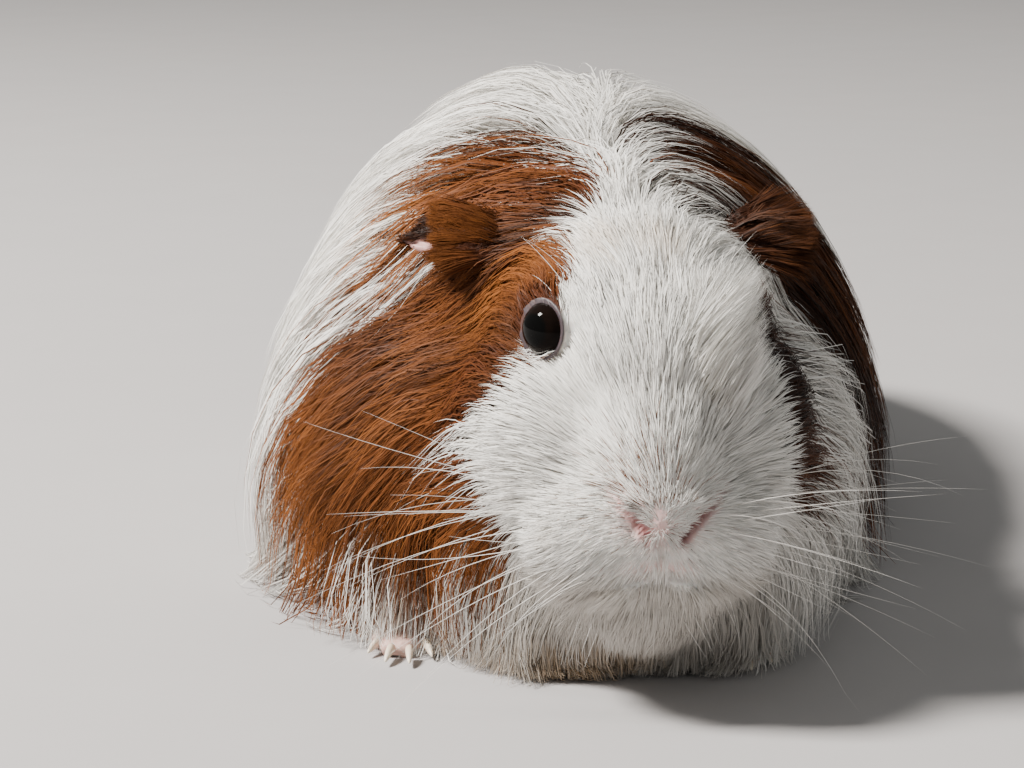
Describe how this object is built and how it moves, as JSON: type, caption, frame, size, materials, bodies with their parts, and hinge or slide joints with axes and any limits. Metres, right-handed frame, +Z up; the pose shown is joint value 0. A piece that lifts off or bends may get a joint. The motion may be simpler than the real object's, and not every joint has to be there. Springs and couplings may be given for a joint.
{
  "type": "guinea pig",
  "caption": "Life-size still model of a long-haired white and red-brown guinea pig standing low on its feet, head turned slightly to its left.",
  "frame": {"origin": "on the floor, under the middle of the whole animal's bounding box", "axes": "+Z up; the animal faces -Y and its tail end is at +Y; +X is the animal's left"},
  "size_m": [0.1342, 0.2778, 0.0962],
  "materials": {
    "head_coat": "white hair with red-brown patches",
    "neck_coat": "long white hair",
    "trunk_coat": "long red-brown and white hair",
    "paw_skin": "pink skin with short white hair",
    "ear_skin": "thin pink skin with a dark rim",
    "eye": "wet black",
    "claw": "pale horn"
  },
  "bodies": {
    "root": {"head": "head_coat", "neck": "neck_coat", "trunk": "trunk_coat", "leg_front_left": "paw_skin", "leg_front_right": "paw_skin", "leg_hind_left": "paw_skin", "leg_hind_right": "paw_skin", "ear_left": "ear_skin", "ear_right": "ear_skin", "eye_left": "eye", "eye_right": "eye", "claw_front_left_1": "claw", "claw_front_left_2": "claw", "claw_front_left_3": "claw", "claw_front_left_4": "claw", "claw_front_right_1": "claw", "claw_front_right_2": "claw", "claw_front_right_3": "claw", "claw_front_right_4": "claw", "claw_hind_left_1": "claw", "claw_hind_left_2": "claw", "claw_hind_left_3": "claw", "claw_hind_right_1": "claw", "claw_hind_right_2": "claw", "claw_hind_right_3": "claw"}
  },
  "joints": []
}
